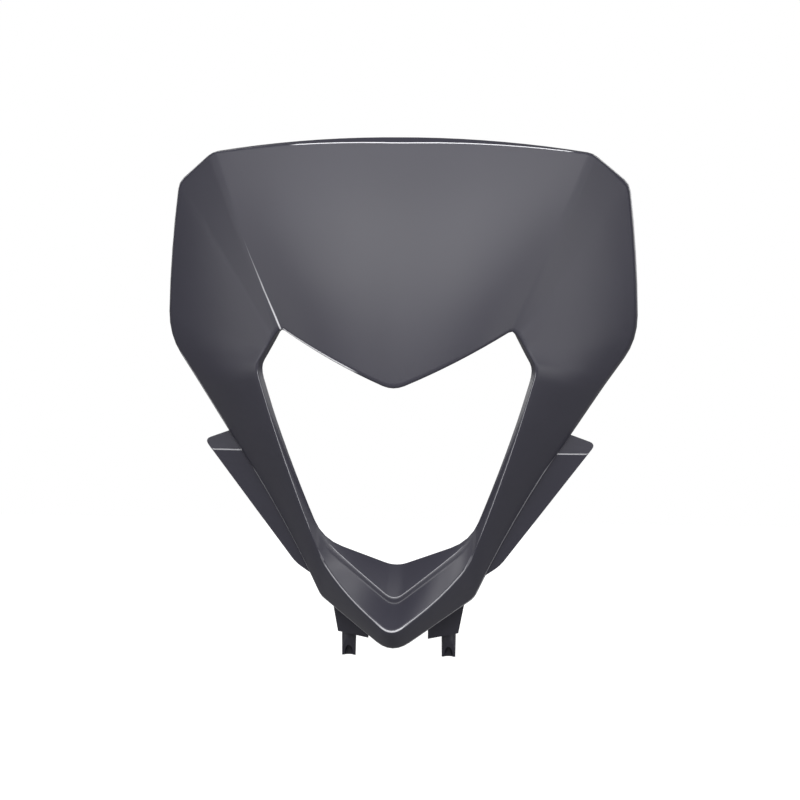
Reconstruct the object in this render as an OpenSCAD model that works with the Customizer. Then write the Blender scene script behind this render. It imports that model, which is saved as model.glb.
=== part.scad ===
// Headlight cowl for a dual-purpose motorbike, moulded in one piece.
// The front faces -Y, the back +Y and +Z is up. The sketch frame has x = 0 on the mirror plane,
// y = 0 at the lowest point of the shield's front face and z = 0 at the sketch level, from which
// all heights are given. The model's origin is the middle of the pair of upper bosses.

/* [Wall] */
// Thickness of the moulded wall
wall = 2.5; // [2:0.1:3]
// Depth of the rim that turns back behind the shield's lower edge
tip_rim = 8; // [5:0.5:12]
// Depth of the rim that turns back along the wings' outer edge
wing_rim = 10; // [6:0.5:14]
// Depth of the rim that turns back along the legs and the chin
leg_rim = 8; // [5:0.5:11]
// Setback of the rounding along the opening's front edge
lip_round = 3.4; // [2:0.1:4]
// Setback of the rounding along the outer edge of wings and legs
edge_round = 3.4; // [2:0.1:4]

/* [Shield] */
// Height of the shield's tip over the sketch level, before it is rounded
tip_z = 38.7; // [30:0.1:48]
// Setback of the rounding of the tip
tip_round = 8; // [4:0.1:10]
// Sag of the shield's lower edge between the tip and the crease
tip_sag = 2.3; // [0:0.1:4]
// Width between the two creases at the opening
crease_foot_w = 150.5; // [138:0.5:160]
// Height of the creases' feet
crease_foot_z = 78.3; // [72:0.1:86]
// Depth of the creases' feet behind the tip
crease_foot_y = 22.5; // [15:0.5:28]
// Width between the two creases at the top
crease_top_w = 253.4; // [238:0.2:262]
// Height of the creases' top ends
crease_top_z = 195.4; // [188:0.2:202]
// Depth of the creases' top ends
crease_top_y = 51.5; // [42:0.5:58]
// Height of the shield's top edge at the middle
top_z = 200.6; // [196:0.1:210]
// Depth of the top edge at the middle
top_y = 36; // [29:0.5:43]
// Bow of the top edge between the middle and the creases
top_bow = 2.2; // [0.5:0.1:4]
// Height of the band over the top edge
top_band = 4.3; // [2:0.1:8]
// Crown of the shield, up its middle line
shield_crown = 6; // [2:0.5:9]

/* [Wings] */
// Width over the upper wing corners
wing_top_w = 303.1; // [290:0.1:310]
// Height of the upper wing corners
wing_top_z = 177.7; // [168:0.1:186]
// Depth of the upper wing corners
wing_top_y = 68; // [60:0.5:76]
// Width over the lower wing corners, before they are rounded
wing_w = 315.6; // [306:0.2:324]
// Height of the lower wing corners
wing_low_z = 73.8; // [66:0.1:82]
// Depth of the lower wing corners
wing_low_y = 72; // [64:0.5:80]
// Setback of the rounding of the lower wing corners
wing_round = 16.5; // [8:0.5:26]
// Bow of the wings' outer edge
wing_bow = 1.8; // [0:0.1:4]
// Crown of the wings
wing_crown = 3; // [1:0.5:6]

/* [Legs] */
// Width over the legs at the shoulders' level
shoulder_out_w = 270.8; // [262:0.2:280]
// Height of that point of the outer edge
shoulder_out_z = 43.2; // [36:0.2:50]
// Depth of that point of the outer edge
shoulder_out_y = 59; // [52:0.5:66]
// Width over the legs where the ears begin
leg_out_w = 223.6; // [214:0.2:232]
// Height of that point of the outer edge
leg_out_z = 7; // [0:0.5:14]
// Depth of that point of the outer edge
leg_out_y = 56; // [50:0.5:62]
// Hollow of the legs' outer edge between the ears' start and the kink
leg_hollow = 2.3; // [0:0.1:5]
// Width over the kinks at the foot of the legs
kink_w = 102.2; // [92:0.2:110]
// Height of the kinks
kink_z = -99.4; // [-106:0.2:-94]
// Depth of the kinks
kink_y = 58.5; // [52:0.5:64]

/* [Lamp opening] */
// Width between the front lips at the shoulders, before they are rounded
shoulder_w = 183.5; // [176:0.5:190]
// Height of the shoulders
shoulder_z = 53.6; // [48:0.1:60]
// Depth of the lip at the shoulders
shoulder_y = 22; // [16:0.5:28]
// Depth of the inner return at the shoulders
shoulder_return = 6.4; // [5:0.1:9]
// Width between the lips at the top of the legs
lip_w = 167.3; // [161:0.1:173]
// Height of the lip at the top of the legs
lip_z = 26; // [20:0.5:32]
// Depth of the lip at the top of the legs
lip_y = 24.5; // [19:0.5:30]
// Width of the opening between the inner corners at its foot
foot_w = 97.6; // [90:0.2:105]
// Height of the inner corners at the opening's foot
foot_z = -60.2; // [-65:0.2:-55]
// Depth of the inner corners at the opening's foot
foot_y = 46; // [42:0.5:51]
// Width of the level stretch of the lip beside each crease's foot
foot_level = 1.6; // [1:0.1:2.4]
// Bow of the lip along the legs
lip_bow = 1.6; // [0:0.1:3]
// Bow of the free edge behind it
brink_bow = 1.1; // [0:0.1:2]

/* [Chin] */
// Height of the notch at the bottom of the opening
notch_z = -78.1; // [-83:0.1:-73]
// Depth of the notch
notch_y = 50.5; // [45:0.5:56]
// Height of the step's upper edge at the middle
step_top_z = -98.9; // [-101:0.1:-95]
// Depth of the step at the middle
step_y = 29; // [25:0.5:33]
// Height of the step at the middle
step_h = 3.6; // [1.6:0.1:4]
// Depth of the step's foot behind its upper edge at the middle
step_lean = 0.8; // [0.3:0.1:1.5]
// Width between the lip's kinks beside the chin
lip_kink_w = 95.7; // [90:0.1:100]
// Height of the lip's kinks
lip_kink_z = -76.6; // [-80:0.1:-73]
// Depth of the lip's kinks
lip_kink_y = 44; // [40:0.5:47]
// Height of the lip at the middle of the chin
lip_low_z = -117.2; // [-120:0.1:-114]
// Depth of the lip at the middle of the chin
lip_low_y = 4.5; // [1:0.5:9]
// Bow of the lip between the kinks and the middle of the chin
chin_bow = 2.4; // [0:0.1:4]
// Height of the chin's lowest point, before it is rounded
chin_z = -131.5; // [-137:0.1:-129]
// Depth of the chin's lowest point
chin_y = 15; // [11:0.5:20]
// Setback of the rounding of the chin
chin_round = 15.7; // [8:0.1:20]

/* [Ears] */
// Thickness of the ears
ear_t = 2.6; // [2:0.1:3.2]
// Distance of the ears' face behind the legs' outer edge
ear_back = 2.8; // [2:0.1:3.6]
// Half-width at which the ears reach furthest out, before their tips are rounded
ear_tip_x = 131; // [126:0.5:135]
// Height of the ears' tips
ear_tip_z = 4; // [1:0.1:7]
// Height at which the ears' top edge leaves the legs
ear_top_z = 10.5; // [9:0.1:14]
// Half-width of the ears' lower corner, before it is rounded
ear_low_x = 68.2; // [65:0.2:72]
// Height of the ears' lower corner
ear_low_z = -78; // [-81:0.5:-74]
// Height at which the ears' outer edge meets the legs
ear_end_z = -85.5; // [-88:0.5:-82]
// Height of the step line across the ears
ear_step_z = -0.5; // [-4:0.1:1]
// Height of the step itself
ear_step = 0.8; // [0.4:0.1:1.2]
// Angle by which the ears lean back towards their outer edge
ear_lean = 10; // [4:1:18]
// Setback of the rounding of the ears' tips
ear_tip_round = 4.5; // [2:0.1:6]
// Setback of the rounding of the ears' lower corner
ear_low_round = 5; // [2:0.1:8]
// Share by which the ears lean back more over the step
ear_top_lean = 0.2; // [0.05:0.01:0.3]

/* [Lower brackets and pegs] */
// Thickness of the bracket plates
bracket_t = 2.5; // [2:0.1:3.2]
// Depth of the brackets' front face
bracket_y = 74; // [69:0.5:78]
// Half-width of the brackets' outer edge at its lower end
bracket_out_x = 40.6; // [39:0.1:42.4]
// Half-width of the brackets' outer edge at the chin
bracket_top_x = 45; // [43:0.1:46.5]
// Half-width of the brackets' inner edge
bracket_in_x = 20.1; // [17:0.1:23]
// Height of the brackets' outer lower corner
bracket_out_z = -124.8; // [-127:0.1:-121]
// Height of the brackets' inner lower corner
bracket_in_z = -129; // [-131:0.1:-126]
// Thickness of the webs that carry the brackets
web_t = 2.1; // [1.8:0.1:2.4]
// Distance of the webs' front behind the chin's edge
web_back = 3; // [2:0.1:4]
// Distance between the two pegs
peg_gap = 67.6; // [62:0.2:71]
// Outer diameter of the pegs
peg_d = 9.7; // [8:0.1:10.4]
// Diameter of the pegs' lower ends, to which they taper beside the slanting cut
peg_tip_d = 9.3; // [8:0.1:9.5]
// Diameter of the hole in the pegs
peg_hole_d = 6; // [4:0.1:6.4]
// Distance of the pegs behind the bracket plates
peg_clear = 1.5; // [0.8:0.1:2.5]
// Height at which the pegs leave the blocks behind the brackets
peg_root_z = -124.4; // [-126:0.1:-122]
// Height of those blocks' upper ends, behind the chin
peg_top_z = -109; // [-112:0.5:-106]
// Height of the pegs' lower ends
peg_end_z = -142; // [-146:0.1:-141]
// Height over which the pegs are cut slanting at the front
peg_cut_h = 11.5; // [6:0.1:12]

/* [Bosses] */
// Outer diameter of the upper bosses
boss_d = 11; // [9:0.2:13]
// Diameter of the upper bosses' pilot holes
boss_hole_d = 4.2; // [3:0.1:5]
// Depth of the upper bosses' mouths behind the shield's tip
boss_mouth_y = 47; // [44:0.5:50]
// Depth of the pilot holes in the upper bosses
boss_hole_deep = 11; // [8:0.5:13]
// Outer diameter of the lower bosses
foot_boss_d = 9; // [7.6:0.2:9.6]
// Diameter of the lower bosses' pilot holes
foot_boss_hole_d = 3.4; // [2.6:0.1:4]
// Depth of the lower bosses' mouths behind the shield's tip
foot_boss_mouth_y = 68; // [66:0.5:72]
// Depth of the pilot holes in the lower bosses
foot_boss_hole_deep = 10; // [8:0.5:12]
// Thickness of the ribs beside the bosses
rib_t = 1.8; // [1.4:0.1:2.4]
// Reach of those ribs from the bosses' axes
rib_reach = 10; // [7:0.5:11]
// Distance of the ribs' ends before the upper bosses' mouths
rib_short = 3; // [1:0.5:5]

/* [Hidden] */

// Corner points of the cowl's lines, from the middle of the top down the right side to the chin.
// Outer edge, where the face turns into the rim
EDGE = [
    [0, top_y, top_z],
    [crease_top_w / 2, crease_top_y, crease_top_z],
    [wing_top_w / 2, wing_top_y, wing_top_z],
    [wing_w / 2, wing_low_y, wing_low_z],
    [shoulder_out_w / 2, shoulder_out_y, shoulder_out_z],
    [leg_out_w / 2, leg_out_y, leg_out_z],
    [kink_w / 2, kink_y, kink_z],
    [0, chin_y, chin_z]
];
// Front lip around the lamp opening
LIP_UPPER = [crease_foot_w / 2 + foot_level, crease_foot_y + foot_level * 0.4, crease_foot_z];
LIP_SHOULDER = [shoulder_w / 2, shoulder_y, shoulder_z];
LIP = [
    [0, 0, tip_z],
    [crease_foot_w / 2, crease_foot_y, crease_foot_z],
    along(0.22, LIP_UPPER, LIP_SHOULDER),
    along(0.6, LIP_UPPER, LIP_SHOULDER),
    LIP_SHOULDER,
    [lip_w / 2, lip_y, lip_z],
    [lip_kink_w / 2, lip_kink_y, lip_kink_z],
    [0, lip_low_y, lip_low_z]
];
// How far the free edge behind the lip stands into the opening, and how deep it lies behind the lip
RETURN_IN = [0, 0, 1.6, 2.4, 2.8, 2.9];
RETURN_DEEP = [tip_rim, tip_rim, tip_rim, shoulder_return, shoulder_return, shoulder_return];
// Free edge around the opening
BRINK = concat(
    [for (i = [0:5]) LIP[i] + [-RETURN_IN[i], RETURN_DEEP[i], i < 2 ? 0.5 : -0.5]],
    [[foot_w / 2, foot_y, foot_z], [0, notch_y, notch_z]]
);
// Upper and lower edge of the step in the chin, which run out where the legs begin, at these shares
// of the way from the free edge to the lip
STEP_ENDS = [0.05, 0.29];
STEP_TOP = concat(
    [for (i = [0:5]) along(1 / 3, BRINK[i], LIP[i])],
    [along(STEP_ENDS[0], BRINK[6], LIP[6]), [0, step_y, step_top_z]]
);
STEP_FOOT = concat(
    [for (i = [0:5]) along(2 / 3, BRINK[i], LIP[i])],
    [along(STEP_ENDS[1], BRINK[6], LIP[6]), [0, step_y + step_lean, step_top_z - step_h]]
);
// Rim that turns back from the outer edge: how far it spreads outwards and how deep it is
RIM_SPREAD = [top_band, 1.4, 1, 1, 1, 0.5, 0.5, 0.4];
RIM_DEEP = [top_band * 1.3, 7, wing_rim - 1, wing_rim, wing_rim, leg_rim, leg_rim, leg_rim - 2];
RIM = [for (i = [0:7]) EDGE[i] + RIM_SPREAD[i] * outward(EDGE, i) + [0, RIM_DEEP[i], 0]];

// Setbacks of the rounded corners of each line, at its corner points
EDGE_SETBACK = [12, 4, 5, wing_round, 8, 10, 3.6, chin_round];
LIP_SETBACK = [tip_round, 3, 2, 3, 8, 8, 10, 8];
BRINK_SETBACK = [tip_round, 3, 2, 3, 8, 8, 14, 8];
STEP_SETBACK = [tip_round, 3, 2, 3, 8, 8, 12, 7];
// Bow of each stretch between two corner points, at its middle
EDGE_BOW = [
    [0, -(crease_top_y - top_y) / 4, top_bow],
    [0, 0, 0], [wing_bow, 0, 0], [0, 0, 0], [0, 0, 0],
    [-leg_hollow, 0, leg_hollow / 2],
    [0, 0, 0]
];
LIP_BOW = [
    [0, -crease_foot_y / 4, -tip_sag],
    [0, 0, 0], [0, 0, 0], [0, 0, 0], [0, 0, 0],
    [lip_bow, 0, 0], [chin_bow, 0, -chin_bow * 0.7]
];
BRINK_BOW = [
    [0, -crease_foot_y / 4, -tip_sag],
    [0, 0, 0], [0, 0, 0], [0, 0, 0], [0, 0, 0],
    [brink_bow, 0, 0], [0, 0, 0]
];
STEP_BOW = concat([for (i = [0:5]) BRINK_BOW[i]], [[brink_bow * 0.6, 0, 0]]);
// Crown of the face and setbacks of the roundings across the wall, at the corner points
CROWN = [shield_crown, wing_crown, wing_crown, wing_crown, wing_crown, 1.5, 0.8, 1];
LIP_ROUND = [lip_round, lip_round, lip_round, lip_round, lip_round, lip_round, 2.4, 2.4];
EDGE_ROUND = [1.2, 1.4, edge_round, edge_round, edge_round, edge_round, 2.4, 2.4];
STEP_ROUND = 0.9;
INNER_ROUND = [0.5, 1.4, 1, 1];
// Pieces in each rounded corner, and in each stretch between two corners
CORNER_CUTS = [4, 2, 2, 4, 4, 2, 4, 6];
STRETCH_CUTS = [8, 1, 4, 1, 2, 6, 5];
FACE_CUTS = 5;
ROUND_CUTS = 3;

// Sums, places and directions
function unit(v) = v / norm(v);
function along(t, a, b) = a + (b - a) * t;
function flip(p) = [-p.x, p.y, p.z];
function outward(line, i) =
    let (a = i == 0 ? flip(line[1]) : line[i - 1])
    let (b = i == 7 ? flip(line[6]) : line[i + 1])
    let (d1 = unit([line[i].x - a.x, 0, line[i].z - a.z]))
    let (d2 = unit([b.x - line[i].x, 0, b.z - line[i].z]))
    unit([-(d1 + d2).z, 0, (d1 + d2).x]);

// A half list of corner points, carried round the left side to a closed ring of 14
function ring_points(half) = concat(half, [for (i = [6:-1:1]) flip(half[i])]);
function ring_values(half) = concat(half, [for (i = [6:-1:1]) half[i]]);
function ring_stretches(half) = concat(half, [for (i = [6:-1:0]) half[i]]);
function ring_bows(half) = concat(half, [for (i = [6:-1:0]) flip(half[i])]);

// Bow of a stretch from a to b at point p of it
function bow_at(p, a, b, bow) =
    let (s = (p - a) * (b - a) / pow(norm(b - a), 2))
    4 * s * (1 - s) * bow;
// Point at the setback from corner p towards the corner q, on the bowed stretch
function setback_point(p, q, t, bow) =
    let (f = p + unit(q - p) * min(t, 0.45 * norm(q - p)))
    f + bow_at(f, p, q, bow);
// Points of a rounded corner p between its neighbours a and b
function corner(a, p, b, t, bow_a, bow_b, cuts) =
    let (from = setback_point(p, a, t, bow_a))
    let (to = setback_point(p, b, t, bow_b))
    [for (i = [0:cuts])
        let (s = i / cuts)
        pow(1 - s, 2) * from + 2 * s * (1 - s) * p + s * s * to];
// Points between two rounded corners
function stretch(a, b, t_a, t_b, bow, cuts) =
    let (from = a + unit(b - a) * min(t_a, 0.45 * norm(b - a)))
    let (to = b + unit(a - b) * min(t_b, 0.45 * norm(b - a)))
    [for (i = [1:1:cuts - 1])
        let (f = along(i / cuts, from, to))
        f + bow_at(f, a, b, bow)];

// A line of the cowl, sampled all the way round at the same stations as every other line
function ring(half, setback, bows) =
    let (p = ring_points(half))
    let (t = ring_values(setback))
    let (bow = ring_bows(bows))
    let (corner_cuts = ring_values(CORNER_CUTS))
    let (cuts = ring_stretches(STRETCH_CUTS))
    [for (i = [0:13])
        let (h = (i + 13) % 14)
        let (j = (i + 1) % 14)
        each concat(
            corner(p[h], p[i], p[j], t[i], bow[h], bow[i], corner_cuts[i]),
            stretch(p[i], p[j], t[i], t[j], bow[i], cuts[i])
        )];
// Value of a list given at the corner points, at every station
function ring_blend(half) =
    let (v = ring_values(half))
    let (corner_cuts = ring_values(CORNER_CUTS))
    let (cuts = ring_stretches(STRETCH_CUTS))
    [for (i = [0:13])
        let (j = (i + 1) % 14)
        each concat(
            [for (k = [0:corner_cuts[i]]) v[i]],
            [for (k = [1:1:cuts[i] - 1]) blend_between(v[i], v[j], k / cuts[i], i)]
        )];
// On the shield a value leaves the middle line level, so that no ridge shows there
function blend_between(a, b, s, i) = along(i == 0 ? s * s : i == 13 ? 1 - pow(1 - s, 2) : s, a, b);

// The six lines from the opening's free edge to the rim's free edge
LINES = [
    ring(BRINK, BRINK_SETBACK, BRINK_BOW),
    ring(STEP_TOP, STEP_SETBACK, STEP_BOW),
    ring(STEP_FOOT, STEP_SETBACK, STEP_BOW),
    ring(LIP, LIP_SETBACK, LIP_BOW),
    ring(EDGE, EDGE_SETBACK, EDGE_BOW),
    ring(RIM, EDGE_SETBACK, EDGE_BOW)
];
STATIONS = len(LINES[0]);
CROWNS = ring_blend(CROWN);
LIP_ROUNDS = ring_blend(LIP_ROUND);
EDGE_ROUNDS = ring_blend(EDGE_ROUND);

// Outward normal of the strip between the lines k and k + 1, at station s
function strip_normal(lines, k, s) =
    let (after = (s + 1) % STATIONS)
    let (before = (s + STATIONS - 1) % STATIONS)
    let (way = lines[k][after] + lines[k + 1][after] - lines[k][before] - lines[k + 1][before])
    unit(cross(way, lines[k + 1][s] - lines[k][s]));
// Way from a corner of the section to the same corner on the inner side of the wall
function inset(lines, k, s, depth) =
    let (n1 = strip_normal(lines, max(k - 1, 0), s))
    let (n2 = strip_normal(lines, min(k, 4), s))
    -depth * (n1 + n2) / (1 + n1 * n2);
INNER_LINES = [for (k = [0:5]) [for (s = [0:STATIONS - 1]) LINES[k][s] + inset(LINES, k, s, wall)]];

// Section of one side of the wall at station s, rounded at its corners and crowned over its face
function section(lines, s, setbacks, cuts) =
    let (p = [for (k = [0:5]) lines[k][s]])
    let (none = [0, 0, 0])
    let (crown = CROWNS[s] * strip_normal(lines, 3, s))
    concat(
        [p[0]],
        corner(p[0], p[1], p[2], setbacks[0], none, none, 1),
        corner(p[1], p[2], p[3], setbacks[1], none, none, 1),
        corner(p[2], p[3], p[4], setbacks[2], none, crown, cuts),
        stretch(p[3], p[4], setbacks[2], setbacks[3], crown, FACE_CUTS),
        corner(p[3], p[4], p[5], setbacks[3], crown, none, cuts),
        [p[5]]
    );
OUTER = [for (s = [0:STATIONS - 1])
    section(LINES, s, [STEP_ROUND, STEP_ROUND, LIP_ROUNDS[s], EDGE_ROUNDS[s]], ROUND_CUTS)];
INNER = [for (s = [0:STATIONS - 1]) section(INNER_LINES, s, INNER_ROUND, 1)];

// First station of the rounded corner i, and the one at its middle
function corner_station(i) = i == 0 ? 0 : corner_station(i - 1) + CORNER_CUTS[i - 1] + STRETCH_CUTS[i - 1];
function mid_station(i) = corner_station(i) + CORNER_CUTS[i] / 2;
// Point of the face and its normal, at station s and the share v of the way from lip to edge
function face_point(s, v) =
    let (a = LINES[3][s])
    let (b = LINES[4][s])
    along(v, a, b) + 4 * v * (1 - v) * CROWNS[s] * strip_normal(LINES, 3, s);
// Stations of the bosses, and the share of the way from lip to edge at which each stands
BOSS_STATION = mid_station(3);
FOOT_BOSS_STATION = corner_station(6) - 1;
BOSS_SHARE = 0.17;
FOOT_BOSS_SHARE = 0.5;
BOSS_AT = face_point(BOSS_STATION, BOSS_SHARE);
FOOT_BOSS_AT = face_point(FOOT_BOSS_STATION, FOOT_BOSS_SHARE);
ORIGIN = [0, boss_mouth_y, BOSS_AT.z];
FAR = 400;
$fn = 48;

// Everything on the side of a plane through p to which the direction n points, up to a depth
module slab(p, n, depth = FAR) {
    a = unit(cross(n, [0.1, 0, 1]));
    b = cross(n, a);
    multmatrix([
        [a.x, b.x, n.x, p.x],
        [a.y, b.y, n.y, p.y],
        [a.z, b.z, n.z, p.z],
        [0, 0, 0, 1]
    ])
        translate([-FAR / 2, -FAR / 2, 0])
            cube([FAR, FAR, depth]);
}
// A front-view outline carried back from one depth to another
module carried(from_y, to_y) {
    translate([0, to_y, 0])
        rotate([90, 0, 0])
            linear_extrude(to_y - from_y)
                children();
}
module both_sides() {
    children();
    mirror([1, 0, 0])
        children();
}

module shell() {
    m = len(OUTER[0]);
    n = len(INNER[0]);
    loop = m + n;
    points = [for (s = [0:STATIONS - 1]) each concat(OUTER[s], [for (i = [n - 1:-1:0]) INNER[s][i]])];
    faces = [for (s = [0:STATIONS - 1], i = [0:loop - 1])
        let (a = s * loop + i)
        let (b = s * loop + (i + 1) % loop)
        let (c = ((s + 1) % STATIONS) * loop + (i + 1) % loop)
        let (d = ((s + 1) % STATIONS) * loop + i)
        each [[a, b, c], [a, c, d]]];
    polyhedron(points, faces, convexity = 8);
}

// Ear: a plate that leans back beside the leg, with a step across it under its top edge
EAR_STATIONS = [corner_station(5) - 1:mid_station(6)];
EAR_ROOT = [for (s = EAR_STATIONS)
    let (p = (LINES[4][s] + LINES[5][s]) / 2 - strip_normal(LINES, 4, s) * wall / 2)
    [p.x, p.z]];
// Half-width of the middle of the leg's rim at height z, from the known half-width and height pairs
function root_x(z) = lookup(z, [for (p = EAR_ROOT) [p.y, p.x]]);
module ear_outline() {
    root = [root_x(ear_end_z), ear_end_z];
    top = [root_x(ear_top_z), ear_top_z];
    tip = [ear_tip_x, ear_tip_z];
    low = [ear_low_x, ear_low_z];
    polygon(concat(
        corner(top, tip, low, ear_tip_round, [0, 0], [0, 0], 5),
        corner(tip, low, root, ear_low_round, [0, 0], [0, 0], 4),
        [root],
        [for (i = [len(EAR_ROOT) - 1:-1:0]) if (EAR_ROOT[i].y > ear_end_z + 1 && EAR_ROOT[i].y < ear_top_z - 1)
            EAR_ROOT[i]],
        [top]
    ));
}
module ear() {
    down_leg = unit(EDGE[6] - EDGE[5]);
    side = outward(EDGE, 5) * cos(ear_lean) + [0, sin(ear_lean), 0];
    face = unit(cross(side, down_leg));
    lower_at = EDGE[5] + [0, ear_back, 0];
    step_x = leg_out_w / 2;
    step_at = [step_x, lower_at.y, ear_step_z];
    upper_face = unit(face - [0, 0, ear_top_lean]);
    intersection() {
        carried(0, FAR / 2)
            ear_outline();
        union() {
            difference() {
                slab(lower_at, face, ear_t);
                slab(step_at, [0, 0, 1]);
            }
            difference() {
                slab(step_at + face * ear_step, upper_face, ear_t);
                slab(step_at - [0, 0, 2], [0, 0, -1]);
            }
        }
    }
}

// Lower bracket: a web that runs back from the chin's rim, a plate that hangs from it and a hollow peg
CHIN_WAY = unit([EDGE[6].x, 0, EDGE[6].z - EDGE[7].z]);
function chin_edge(x) = EDGE[7].z + x * CHIN_WAY.z / CHIN_WAY.x;
module bracket() {
    back_y = bracket_y + bracket_t;
    web_low = 0.3;
    web_top = web_low + web_t;
    web_front = EDGE[7] + [0, web_back, 0];
    web_front_face = unit(cross([-CHIN_WAY.z, 0, CHIN_WAY.x], unit(EDGE[6] - EDGE[7])));
    intersection() {
        carried(0, back_y)
            polygon([
                [bracket_in_x, chin_edge(bracket_in_x) + web_low],
                [bracket_top_x, chin_edge(bracket_top_x) + web_low],
                [bracket_top_x, chin_edge(bracket_top_x) + web_top],
                [bracket_in_x, chin_edge(bracket_in_x) + web_top]
            ]);
        slab(web_front, web_front_face);
    }
    carried(bracket_y, back_y)
        polygon([
            [bracket_in_x, bracket_in_z],
            [bracket_out_x, bracket_out_z],
            [bracket_top_x, chin_edge(bracket_top_x) + web_top / 2],
            [bracket_in_x, chin_edge(bracket_in_x) + web_top / 2]
        ]);
}
PEG_Y = bracket_y + bracket_t + peg_clear + peg_d / 2;
PEG_TAPER_Z = peg_end_z + peg_cut_h + 0.2;
module peg() {
    translate([peg_gap / 2, PEG_Y, PEG_TAPER_Z])
        cylinder(d = peg_d, h = peg_root_z - PEG_TAPER_Z + 1);
    translate([peg_gap / 2, PEG_Y, peg_end_z])
        cylinder(d1 = peg_tip_d, d2 = peg_d, h = PEG_TAPER_Z - peg_end_z);
    translate([peg_gap / 2 - peg_d / 2, bracket_y + bracket_t / 2, peg_root_z])
        cube([peg_d, PEG_Y + peg_d / 2 - bracket_y - bracket_t / 2, peg_top_z - peg_root_z]);
}
module peg_cuts() {
    translate([peg_gap / 2, PEG_Y, peg_end_z - 1])
        cylinder(d = peg_hole_d, h = peg_top_z - peg_end_z - 2);
    slant = unit([0, -peg_cut_h, -peg_d / 2]);
    intersection() {
        slab([peg_gap / 2, PEG_Y, peg_end_z], slant);
        translate([peg_gap / 2 - peg_d, PEG_Y - peg_d, peg_end_z - 1])
            cube([peg_d * 2, peg_d, peg_cut_h + 1]);
    }
}

// Boss behind the face: it stands in the wall at point p, whose normal is n, and opens to the back
module boss(p, n, d, mouth_y) {
    intersection() {
        slab(p - n * wall / 2, -n);
        translate([p.x, 0, p.z])
            rotate([-90, 0, 0])
                cylinder(d = d, h = mouth_y);
    }
}
module pilot_hole(p, d, mouth_y, deep) {
    translate([p.x, mouth_y - deep, p.z])
        rotate([-90, 0, 0])
            cylinder(d = d, h = deep + 1);
}
// Ribs from the upper boss along the wall: one outwards, one up and one down
module boss_ribs(p, n) {
    intersection() {
        slab(p - n * wall / 2, -n);
        union() {
            translate([p.x, 0, p.z - rib_t / 2])
                cube([rib_reach, boss_mouth_y - rib_short, rib_t]);
            slope_rib = [[0, boss_mouth_y - rib_short], [0, 0], [rib_reach, 0], [rib_reach, p.y + 4]];
            for (turn = [90, -90])
                translate([p.x + sign(turn) * rib_t / 2, 0, p.z])
                    rotate([0, -turn, 0])
                        linear_extrude(rib_t)
                            polygon(slope_rib);
        }
    }
}

module headlight_cowl() {
    boss_n = strip_normal(LINES, 3, BOSS_STATION);
    foot_n = strip_normal(LINES, 3, FOOT_BOSS_STATION);
    color([0.33, 0.33, 0.36])
        translate(-ORIGIN)
            difference() {
                union() {
                    shell();
                    both_sides() {
                        ear();
                        bracket();
                        peg();
                        boss(BOSS_AT, boss_n, boss_d, boss_mouth_y);
                        boss_ribs(BOSS_AT, boss_n);
                        boss(FOOT_BOSS_AT, foot_n, foot_boss_d, foot_boss_mouth_y);
                    }
                }
                both_sides() {
                    peg_cuts();
                    pilot_hole(BOSS_AT, boss_hole_d, boss_mouth_y, boss_hole_deep);
                    pilot_hole(FOOT_BOSS_AT, foot_boss_hole_d, foot_boss_mouth_y, foot_boss_hole_deep);
                }
            }
}

headlight_cowl();
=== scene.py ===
"""Headlight cowl for a dual-purpose motorbike: its satin moulded finish, the light and the camera.

Everything is in metres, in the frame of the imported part: +Z up, the front facing -Y and the origin
in the middle of the pair of upper bosses.
"""
import math

import bmesh
import bpy
from mathutils import Matrix, Vector
from mathutils.kdtree import KDTree


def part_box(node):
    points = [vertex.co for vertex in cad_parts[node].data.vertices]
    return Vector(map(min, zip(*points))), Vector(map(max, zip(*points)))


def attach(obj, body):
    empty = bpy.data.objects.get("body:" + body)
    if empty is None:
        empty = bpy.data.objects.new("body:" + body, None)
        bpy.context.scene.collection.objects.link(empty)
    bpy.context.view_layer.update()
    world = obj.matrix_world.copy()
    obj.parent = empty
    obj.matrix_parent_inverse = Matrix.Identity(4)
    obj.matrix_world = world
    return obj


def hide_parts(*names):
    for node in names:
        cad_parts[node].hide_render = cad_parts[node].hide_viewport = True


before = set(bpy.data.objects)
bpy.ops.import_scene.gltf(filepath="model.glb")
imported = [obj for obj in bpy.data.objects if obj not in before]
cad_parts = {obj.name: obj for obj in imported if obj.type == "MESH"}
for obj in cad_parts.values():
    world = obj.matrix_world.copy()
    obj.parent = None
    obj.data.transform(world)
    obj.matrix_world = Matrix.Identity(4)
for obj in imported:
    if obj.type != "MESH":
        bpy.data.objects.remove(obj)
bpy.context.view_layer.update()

NODE = "headlight_cowl"
MM = 0.001

# The photograph's view: how the camera is turned, how far it stands from the cowl and how much
# of the cowl one pixel covers there
VIEW_YAW = math.radians(3.765)
VIEW_PITCH = math.radians(0.339)
VIEW_ROLL = math.radians(0.629)
CAMERA_AWAY = 1.3
SENSOR_MM = 36.0
PICTURE_PX = 800
MM_PER_PX = 0.6601
# Height in mm of the point that the camera faces, and the pixel on which it falls
AXIS_HEIGHT_MM = 0.975
AXIS_PX = (398.5, 347.84)

# The lamps: degrees from the front towards the right, degrees up, width and height, watts
LAMPS_AWAY = 1.5
SQUARE_BOX = (0.8, 0.8)
LONG_BOX = (1.2, 0.8)
LAMPS = (
    ("front_box", 0, 30, SQUARE_BOX, 6.8),
    ("front_box_left", -30, 30, SQUARE_BOX, 6.8),
    ("front_box_right", 30, 30, SQUARE_BOX, 6.8),
    ("side_box_left", -60, 5, SQUARE_BOX, 3.8),
    ("side_box_right", 60, 5, SQUARE_BOX, 5.0),
    ("top_box", 0, 70, LONG_BOX, 10.0),
    ("back_box_left", -145, 20, SQUARE_BOX, 6.0),
    ("back_box_right", 145, 20, SQUARE_BOX, 6.0),
)
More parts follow.
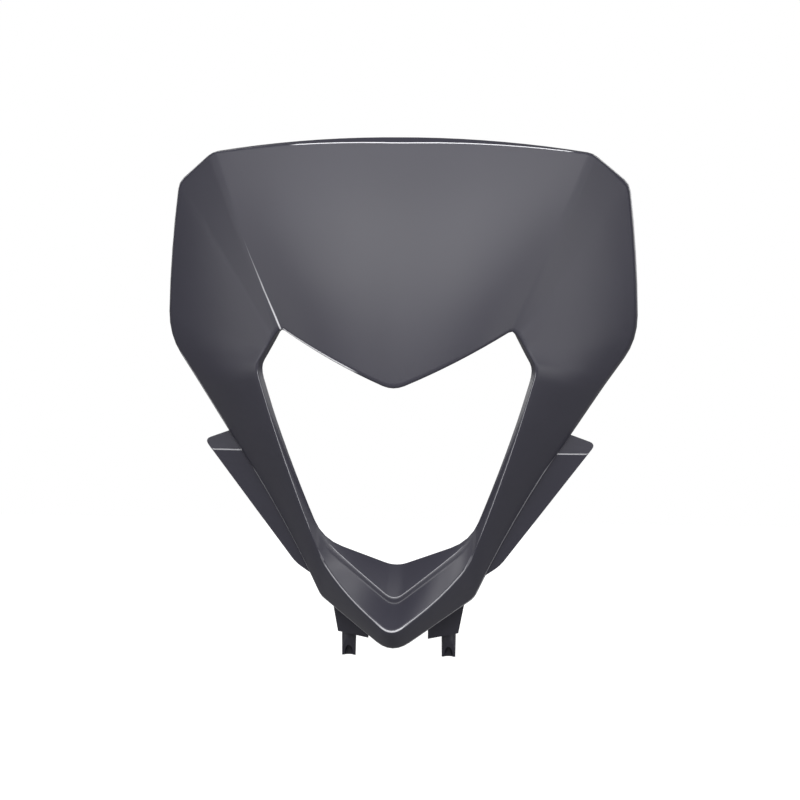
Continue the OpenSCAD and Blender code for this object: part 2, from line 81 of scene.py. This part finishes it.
# The soft light from all round, next to the lamps, and the white that the camera sees behind it
SOFT_LIGHT = 0.14
WHITE = 1.0

# The floor: its side, how far it lies under the cowl and its own surface
FLOOR_SIDE = 3.0
FLOOR_BELOW = 0.03
FLOOR_GREY = (0.3, 0.3, 0.3, 1)
FLOOR_ROUGHNESS = 0.9
# The white that the floor shows: a distance from the origin and the strength up to it or from it
GLOW_NEAR = (0.3, 0.85)
GLOW_FAR = (0.7, WHITE)

# The plastic: its two tones on screen, the pale tone on screen of the highlight painted on its edges
# and crease, its roughness, which drifts with the tone, and how high its grain stands
TONE_LOW = (48, 47, 57)
TONE_HIGH = (53, 52, 63)
EDGE_HIGHLIGHT_TONE = (225, 225, 230)
SATIN_LOW = 0.36
SATIN_HIGH = 0.42
GRAIN_STRENGTH = 0.12
GRAIN_HEIGHT = 0.05 * MM
# The noises in its skin: input and its value, output, detail and roughness of the noise
NOISES = (("Grain Size", 1800, "Height", 3, 0.6), ("Drift Size", 14, "Drift", 2, 0.5))
# The strength at which a painted highlight begins to show, and those at which it shows fully on a
# line and on the crease
MARK_SHOWS = 0.6
LINE_FULL = 0.95
CREASE_FULL = 1.0

# The skin of the solid: how close vertices are one, and how far triangles of one face may turn
WELD = 0.01 * MM
QUAD_TURN = math.radians(8)
QUAD_SKEW = math.radians(60)
# The radius of the moulded edges, from what turn an edge gets it and up to what turn skin is smooth
EDGE_RADIUS = 0.35 * MM
EDGE_STEPS = 2
EDGE_TURN = math.radians(55)
SMOOTH_TURN = math.radians(50)
FACE_WEIGHT = 60

# The left crease between the shield and the wing, by half-width and height
CREASE_FOOT = (-0.0752, 0.0129)
CREASE_TOP = (-0.1267, 0.13)
# Its painted highlight: how far to both sides it reaches, how far past the foot it starts and at
# which height it ends, as shares of the crease, and how much the skin faces the front there
CREASE_LEFT = -1.3 * MM
CREASE_RIGHT = 0.3 * MM
CREASE_START = -0.02
CREASE_END = 0.56
CREASE_FACING = -0.3

# The painted highlight line across the ears: its height, half its width, how strong it is and how
# exact its cut is
EAR_LINE_Z = -0.0682
EAR_LINE_H = 0.0004
EAR_HIGHLIGHT = 0.85
EAR_CUT_SLACK = 0.01 * MM
# The flat fronts of the ears: how far from the line they reach, how far back and how far out they
# start and how much they face the front
EAR_REACH = 0.08
EAR_FRONT_Y = 0.0118
EAR_FRONT_X = 0.108
EAR_FACING = -0.9

# The strips of narrow faces that follow the rounded edges: the widest face, the longest end, how
# much two faces of a strip turn, how much they turn at an end and how straight across an end lies
STRIP_W = 0.0023
STRIP_END = 0.0019
FLAT_TURN = 7.5
END_TURN = 25
END_SLANT = 0.7
# The turn, in radians, that stands for an edge with a single face, and how exact mirror images are
OPEN_EDGE = 9
MIRROR_SLACK = 0.05 * MM
# Places on these strips, on the right half
LIP_AT = ((0.0865, -0.023, -0.029), (0.0486, -0.0042, -0.1384), (0.0183, -0.0283, -0.1705))
RIM_AT = ((0.101, 0.010, -0.0745), (0.0508, 0.0115, -0.1625))
TOP_AT = ((0.003, -0.011, 0.1355),)
STEP_AT = ((0.016, -0.012, -0.1525),)
NOTCH_AT = ((0.036, -0.0415, -0.0095),)

# How strongly highlights are painted on the strips: from which facing the skin is a front, then
# the strength on a front and on a side
LIP_LEG = (-0.85, 0.83, 0.5)
LIP_CHIN = (-0.82, 0.82, 0.6)
RIM = (-0.3, 0.84, 0.68)
STEP = (-0.92, 0.4, 0.8)
# The lip: where its painted highlight comes in below the shield, its lower corners with their
# strength, and how far in and up from there its inner branch starts, which gets no painted highlight
LIP_FADE = (-0.008, -0.015)
LIP_CORNER_Z = -0.134
LIP_CORNER_H = 0.008
LIP_CORNER = 0.68
LIP_BRANCH_X = 0.0522
LIP_BRANCH_Z = -0.1315
# The rim: its top on both halves, and the front end of its strip, which comes forward at the chin
RIM_TOP_LEFT = 0.002
RIM_TOP_RIGHT = -0.05
RIM_FRONT_Y = 0.0085
RIM_CHIN_X = 0.0505
RIM_CHIN_SLOPE = 0.85
# Where the other painted highlight lines come in: from nothing at the first value to full at the
# second
TOP_LEFT_FADE = (-0.086, -0.066)
TOP_RIGHT_FADE = (0.124, 0.112)
STEP_FADE = (0.05, 0.043)
NOTCH_FADE = (-0.01, -0.03)
# How far below the crease's top the line under the band may lie, and how low the notch's line may
TOP_BELOW = 0.002
NOTCH_LOW_Z = -0.03


def srgb(red, green, blue):
    """A colour given as 0 to 255 on screen, in the linear values that a shader takes."""
    def linear(c):
        c = c / 255
        return c / 12.92 if c <= 0.04045 else ((c + 0.055) / 1.055) ** 2.4
    return (linear(red), linear(green), linear(blue), 1)


def select_only(obj):
    """Selects one object and nothing else."""
    bpy.ops.object.select_all(action="DESELECT")
    obj.select_set(True)
    bpy.context.view_layer.objects.active = obj


# The moulding

def copy_moulding():
    """A copy of the moulded solid, welded so that it can be shaded as one skin."""
    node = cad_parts[NODE]
    cowl = bpy.data.objects.new("cowl_moulding", node.data.copy())
    bpy.context.scene.collection.objects.link(cowl)
    select_only(cowl)
    bpy.ops.object.mode_set(mode="EDIT")
    bpy.ops.mesh.select_all(action="SELECT")
    bpy.ops.mesh.remove_doubles(threshold=WELD)
    bpy.ops.mesh.customdata_custom_splitnormals_clear()
    bpy.ops.mesh.tris_convert_to_quads(face_threshold=QUAD_TURN, shape_threshold=QUAD_SKEW)
    bpy.ops.object.mode_set(mode="OBJECT")
    return cowl


def ramp(value, start, full):
    """0 up to a start, 1 from where it is full, and even between them, upwards or downwards."""
    return min(max((value - start) / (full - start), 0), 1)


def by_facing(vert, limit, front, side):
    """One strength where the skin faces the front more than a limit, and another elsewhere."""
    return front if vert.normal.y < limit else side


def crease_painted_highlight(vert):
    """How strongly the highlight painted on the left crease shows at a vertex: most at its foot, and
    less further up.
    """
    foot, top = Vector(CREASE_FOOT), Vector(CREASE_TOP)
    place = Vector((vert.co.x, vert.co.z))
    share = (place - foot).dot(top - foot) / (top - foot).length_squared
    off = place - foot - share * (top - foot)
    near = share >= CREASE_START and CREASE_LEFT < off.x < CREASE_RIGHT
    if vert.normal.y > CREASE_FACING or not near:
        return 0
    return 1 - (1 - MARK_SHOWS) * max(share, 0) / CREASE_END


def lip_highlight(vert):
    """The highlight painted on the opening's lip: from the bends below the shield down the legs and
    along the chin.
    """
    half, height = abs(vert.co.x), vert.co.z
    if height > LIP_BRANCH_Z and half < LIP_BRANCH_X:
        return 0
    if abs(height - LIP_CORNER_Z) < LIP_CORNER_H:
        return LIP_CORNER
    if height < LIP_CORNER_Z:
        return by_facing(vert, *LIP_CHIN)
    limit, front, side = LIP_LEG
    return by_facing(vert, limit, front * ramp(height, *LIP_FADE), side)


def rim_highlight(vert):
    """The highlight painted on the outer edge: on the legs and the chin, and a little on the lower
    left wing.
    """
    top = RIM_TOP_RIGHT if vert.co.x > 0 else RIM_TOP_LEFT
    front_end = RIM_FRONT_Y - RIM_CHIN_SLOPE * max(RIM_CHIN_X - abs(vert.co.x), 0)
    if vert.co.z > top or vert.co.y < front_end:
        return 0
    return by_facing(vert, *RIM)


def top_highlight(vert):
    """The highlight painted as a line under the top band, which fades out before the creases."""
    if vert.co.z < CREASE_TOP[1] - TOP_BELOW:
        return 0
    return ramp(vert.co.x, *TOP_LEFT_FADE) * ramp(vert.co.x, *TOP_RIGHT_FADE)


def step_highlight(vert):
    """The highlight painted on the chin's step, along its upper edge."""
    return by_facing(vert, *STEP) * ramp(abs(vert.co.x), *STEP_FADE)


def notch_highlight(vert):
    """The highlight painted on the notch's left edge, from the crease nearly to the middle."""
    if vert.co.x > CREASE_FOOT[0] and vert.co.z > NOTCH_LOW_Z:
        return ramp(vert.co.x, *NOTCH_FADE)
    return 0


# Places on each strip, and how strongly a highlight is painted on it
STRIPS = ((LIP_AT, lip_highlight), (RIM_AT, rim_highlight), (TOP_AT, top_highlight),
          (STEP_AT, step_highlight), (NOTCH_AT, notch_highlight))


def width_of(face):
    """The width of a narrow face: its area over its longest edge, and twice that for a triangle."""
    width = face.calc_area() / max(edge.calc_length() for edge in face.edges)
    return 2 * width if len(face.verts) == 3 else width


def crosses(edge, face):
    """Whether a face's strip goes on over an edge: it is nearly flat, or a short end across."""
    turn = math.degrees(edge.calc_face_angle(OPEN_EDGE))
    longest = max(face.edges, key=lambda other: other.calc_length())
    along = (longest.verts[1].co - longest.verts[0].co).normalized()
    across = (edge.verts[1].co - edge.verts[0].co).normalized()
    is_end = (edge.calc_length() < STRIP_END and abs(along.dot(across)) < END_SLANT
              and turn < END_TURN)
    return turn < FLAT_TURN or is_end


def strip_verts(mesh, narrow, tree, place):
    """The vertices of the narrow faces that follow one edge through a place, and their mirror."""
    place = Vector(place)
    first = min(narrow, key=lambda face: (face.calc_center_median() - place).length)
    strip, ends = {first}, [first]
    while ends:
        face = ends.pop()
        for edge in face.edges:
            if crosses(edge, face):
                fresh = narrow.intersection(edge.link_faces) - strip
                strip |= fresh
                ends.extend(fresh)
    found = {vert.index for face in strip for vert in face.verts}
    for index in list(found):
        x, y, z = mesh.verts[index].co
        _, image, gap = tree.find((-x, y, z))
        if gap < MIRROR_SLACK:
            found.add(image)
    return found


def mark_strips(mesh, highlight_layer):
    """Marks the narrow faces along the rounded edges with the strength of their painted highlight.
    """
    mesh.verts.ensure_lookup_table()
    tree = KDTree(len(mesh.verts))
    for vert in mesh.verts:
        tree.insert(vert.co, vert.index)
    tree.balance()
    narrow = {face for face in mesh.faces if width_of(face) < STRIP_W}
    for places, how_much in STRIPS:
        found = set().union(*(strip_verts(mesh, narrow, tree, place) for place in places))
        for face in narrow:
            if all(vert.index in found for vert in face.verts):
                for corner in face.loops:
                    corner[highlight_layer] = how_much(corner.vert)


def on_ear(face, reach):
    """Whether a face is on the flat front of an ear, with its middle this near the line there."""
    middle = face.calc_center_median()
    on_front = face.normal.y < EAR_FACING and middle.y > EAR_FRONT_Y
    return on_front and abs(middle.x) > EAR_FRONT_X and abs(middle.z - EAR_LINE_Z) < reach


def mark_ears(mesh, highlight_layer):
    """Cuts a fine line across the front of both ears and marks it for a painted highlight."""
    for height in (EAR_LINE_Z - EAR_LINE_H, EAR_LINE_Z + EAR_LINE_H):
        ears = [face for face in mesh.faces if on_ear(face, EAR_REACH)]
        around = {part for face in ears for part in (*face.verts, *face.edges)}
        bmesh.ops.bisect_plane(mesh, geom=[*ears, *around], plane_co=(0, 0, height),
                               plane_no=(0, 0, 1), dist=EAR_CUT_SLACK)
    for face in mesh.faces:
        if on_ear(face, EAR_LINE_H):
            for corner in face.loops:
                corner[highlight_layer] = EAR_HIGHLIGHT


def mark_painted_highlights(cowl):
    """Keeps in the mesh where highlights are painted on the edges and the crease, and how strongly,
    for the finish.
    """
    mesh = bmesh.new()
    mesh.from_mesh(cowl.data)
    mesh.normal_update()
    crease_highlight_layer = mesh.verts.layers.float.new("crease_painted_highlight")
    highlight_layer = mesh.loops.layers.float.new("edge_painted_highlight")
    for vert in mesh.verts:
        vert[crease_highlight_layer] = crease_painted_highlight(vert)
    mark_strips(mesh, highlight_layer)
    mark_ears(mesh, highlight_layer)
    mesh.to_mesh(cowl.data)
    mesh.free()


def soften_edges(cowl):
    """The small radius that every moulded edge has, and the smooth skin between the edges."""
    select_only(cowl)
    bevel = cowl.modifiers.new("edge_radius", "BEVEL")
    bevel.width = EDGE_RADIUS
    bevel.segments = EDGE_STEPS
    bevel.limit_method = "ANGLE"
    bevel.angle_limit = EDGE_TURN
    bpy.ops.object.modifier_apply(modifier=bevel.name)
    bpy.ops.object.shade_smooth_by_angle(angle=SMOOTH_TURN)
    weights = cowl.modifiers.new("face_weights", "WEIGHTED_NORMAL")
    weights.keep_sharp = True
    weights.weight = FACE_WEIGHT
    bpy.ops.object.modifier_apply(modifier=weights.name)


# The nodes that the finish, the floor and the world share

def map_range(tree, value, low, high, kind="LINEAR"):
    """A value moved into another range: low and high each pair what comes in with what goes out."""
    node = tree.nodes.new("ShaderNodeMapRange")
    node.interpolation_type = kind
    node.inputs["From Min"].default_value, node.inputs["To Min"].default_value = low
    node.inputs["From Max"].default_value, node.inputs["To Max"].default_value = high
    tree.links.new(value, node.inputs["Value"])
    return node.outputs["Result"]


def calculate(tree, operation, first, second):
    """Two values made into one by an operation of the math node."""
    node = tree.nodes.new("ShaderNodeMath")
    node.operation = operation
    tree.links.new(first, node.inputs[0])
    tree.links.new(second, node.inputs[1])
    return node.outputs["Value"]


def mix_colours(tree, factor):
    """A node that mixes two colours by a factor."""
    node = tree.nodes.new("ShaderNodeMix")
    node.data_type = "RGBA"
    tree.links.new(factor, node.inputs["Factor"])
    return node


def mark_strength(tree, mark, full):
    """How much of a mark in the mesh shows: nothing when it is weak, and all of it when full."""
    node = tree.nodes.new("ShaderNodeAttribute")
    node.attribute_name = mark
    return map_range(tree, node.outputs["Fac"], (MARK_SHOWS, 0), (full, 1), "SMOOTHSTEP")


def looked_at(tree):
    """1 for what the camera sees, straight or through something clear, and 0 for other light."""
    path = tree.nodes.new("ShaderNodeLightPath")
    return calculate(tree, "MAXIMUM", path.outputs["Is Camera Ray"],
                     path.outputs["Is Transmission Ray"])


# The finish

def moulded_grain_group():
    """Fine spark-eroded grain of a moulded plastic, as a height, and a small drift of its tone."""
    tree = bpy.data.node_groups.new("moulded_grain", "ShaderNodeTree")
    for scale, _, result, *_ in NOISES:
        tree.interface.new_socket(scale, in_out="INPUT", socket_type="NodeSocketFloat")
        tree.interface.new_socket(result, in_out="OUTPUT", socket_type="NodeSocketFloat")
    nodes, links = tree.nodes, tree.links
    inputs = nodes.new("NodeGroupInput")
    outputs = nodes.new("NodeGroupOutput")
    place = nodes.new("ShaderNodeTexCoord")
    for scale, _, result, detail, roughness in NOISES:
        noise = nodes.new("ShaderNodeTexNoise")
        noise.inputs["Detail"].default_value = detail
        noise.inputs["Roughness"].default_value = roughness
        links.new(place.outputs["Object"], noise.inputs["Vector"])
        links.new(inputs.outputs[scale], noise.inputs["Scale"])
        links.new(noise.outputs["Fac"], outputs.inputs[result])
    return tree


def cowl_plastic():
    """Dark grey moulded plastic with a satin skin, and highlights painted pale on its edges and
    crease.
    """
    material = bpy.data.materials.new("cowl_satin_plastic")
    material.use_nodes = True
    tree = material.node_tree
    nodes, links = tree.nodes, tree.links
    shader = nodes["Principled BSDF"]
    grain = nodes.new("ShaderNodeGroup")
    grain.node_tree = moulded_grain_group()
    for scale, value, *_ in NOISES:
        grain.inputs[scale].default_value = value

    tone = mix_colours(tree, grain.outputs["Drift"])
    tone.inputs["A"].default_value = srgb(*TONE_LOW)
    tone.inputs["B"].default_value = srgb(*TONE_HIGH)
    # Painted highlight: the edges and the left crease are mixed towards a pale tone, as if lit
    painted_highlight_mask = calculate(tree, "MAXIMUM", mark_strength(tree, "edge_painted_highlight", LINE_FULL),
                       mark_strength(tree, "crease_painted_highlight", CREASE_FULL))
    edge = mix_colours(tree, painted_highlight_mask)
    edge.inputs["B"].default_value = srgb(*EDGE_HIGHLIGHT_TONE)
    links.new(tone.outputs["Result"], edge.inputs["A"])
    links.new(edge.outputs["Result"], shader.inputs["Base Color"])

    gloss = map_range(tree, grain.outputs["Drift"], (0, SATIN_LOW), (1, SATIN_HIGH))
    links.new(gloss, shader.inputs["Roughness"])
    bump = nodes.new("ShaderNodeBump")
    bump.inputs["Strength"].default_value = GRAIN_STRENGTH
    bump.inputs["Distance"].default_value = GRAIN_HEIGHT
    links.new(grain.outputs["Height"], bump.inputs["Height"])
    links.new(bump.outputs["Normal"], shader.inputs["Normal"])
    return material


def build_cowl():
    """The moulding with its finish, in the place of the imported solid."""
    cowl = copy_moulding()
    mark_painted_highlights(cowl)
    soften_edges(cowl)
    cowl.data.materials.clear()
    cowl.data.materials.append(cowl_plastic())
    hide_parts(NODE)
    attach(cowl, "root")


# The stage, the light and the camera

def build_floor(cowl_low):
    """A pale floor under the cowl: it looks as white as the space behind, with a faint shadow."""
    bpy.ops.object.select_all(action="DESELECT")
    bpy.ops.mesh.primitive_plane_add(size=FLOOR_SIDE, location=(0, 0, cowl_low - FLOOR_BELOW))
    floor = bpy.context.active_object
    floor.name = "floor"
    bpy.ops.object.transform_apply(location=True, rotation=True, scale=True)
    material = bpy.data.materials.new("pale_floor")
    material.use_nodes = True
    tree = material.node_tree
    nodes, links = tree.nodes, tree.links
    shader = nodes["Principled BSDF"]
    shader.inputs["Base Color"].default_value = FLOOR_GREY
    shader.inputs["Roughness"].default_value = FLOOR_ROUGHNESS
    place = nodes.new("ShaderNodeTexCoord")
    away = nodes.new("ShaderNodeVectorMath")
    away.operation = "LENGTH"
    links.new(place.outputs["Object"], away.inputs[0])
    white = map_range(tree, away.outputs["Value"], GLOW_NEAR, GLOW_FAR, "SMOOTHSTEP")
    glow = nodes.new("ShaderNodeEmission")
    links.new(calculate(tree, "MULTIPLY", white, looked_at(tree)), glow.inputs["Strength"])
    both = nodes.new("ShaderNodeAddShader")
    links.new(shader.outputs["BSDF"], both.inputs[0])
    links.new(glow.outputs["Emission"], both.inputs[1])
    links.new(both.outputs["Shader"], nodes["Material Output"].inputs["Surface"])
    floor.data.materials.append(material)


def build_world():
    """A soft light from all round, which the camera sees as white."""
    world = bpy.data.worlds.new("studio")
    bpy.context.scene.world = world
    world.use_nodes = True
    tree = world.node_tree
    soft = tree.nodes["Background"]
    soft.inputs["Color"].default_value = (1, 1, 1, 1)
    level = map_range(tree, looked_at(tree), (0, SOFT_LIGHT), (1, WHITE))
    tree.links.new(level, soft.inputs["Strength"])


def build_lamp(name, azimuth, elevation, size, power):
    """A soft box that looks at the cowl: azimuth from the front towards the right, then up."""
    side, up = math.radians(azimuth), math.radians(elevation)
    towards = Vector((math.cos(up) * math.sin(side), -math.cos(up) * math.cos(side), math.sin(up)))
    place = LAMPS_AWAY * towards
    bpy.ops.object.select_all(action="DESELECT")
    bpy.ops.object.light_add(type="AREA", location=place)
    lamp = bpy.context.active_object
    lamp.name = name
    lamp.rotation_euler = place.to_track_quat("Z", "Y").to_euler()
    lamp.data.shape = "RECTANGLE"
    lamp.data.size, lamp.data.size_y = size
    lamp.data.energy = power


def build_camera():
    """The photograph's camera: it faces a point near the origin, which falls on its own pixel."""
    turn = Matrix.Rotation(VIEW_YAW, 3, "Z") @ Matrix.Rotation(VIEW_PITCH, 3, "X")
    upright = Matrix.Rotation(math.radians(90), 3, "X")
    view = turn @ upright @ Matrix.Rotation(VIEW_ROLL, 3, "Z")
    place = Vector((0, 0, AXIS_HEIGHT_MM * MM)) + CAMERA_AWAY * (view @ Vector((0, 0, 1)))
    bpy.ops.object.select_all(action="DESELECT")
    bpy.ops.object.camera_add(location=place, rotation=view.to_euler())
    camera = bpy.context.active_object
    camera.data.sensor_width = SENSOR_MM
    camera.data.lens = SENSOR_MM * CAMERA_AWAY / (PICTURE_PX * MM_PER_PX * MM)
    camera.data.shift_x = (PICTURE_PX / 2 - AXIS_PX[0]) / PICTURE_PX
    camera.data.shift_y = (AXIS_PX[1] - PICTURE_PX / 2) / PICTURE_PX
    bpy.context.scene.camera = camera


build_cowl()
build_floor(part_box(NODE)[0].z)
build_world()
for lamp_values in LAMPS:
    build_lamp(*lamp_values)
build_camera()
bpy.context.scene.view_settings.view_transform = "Standard"
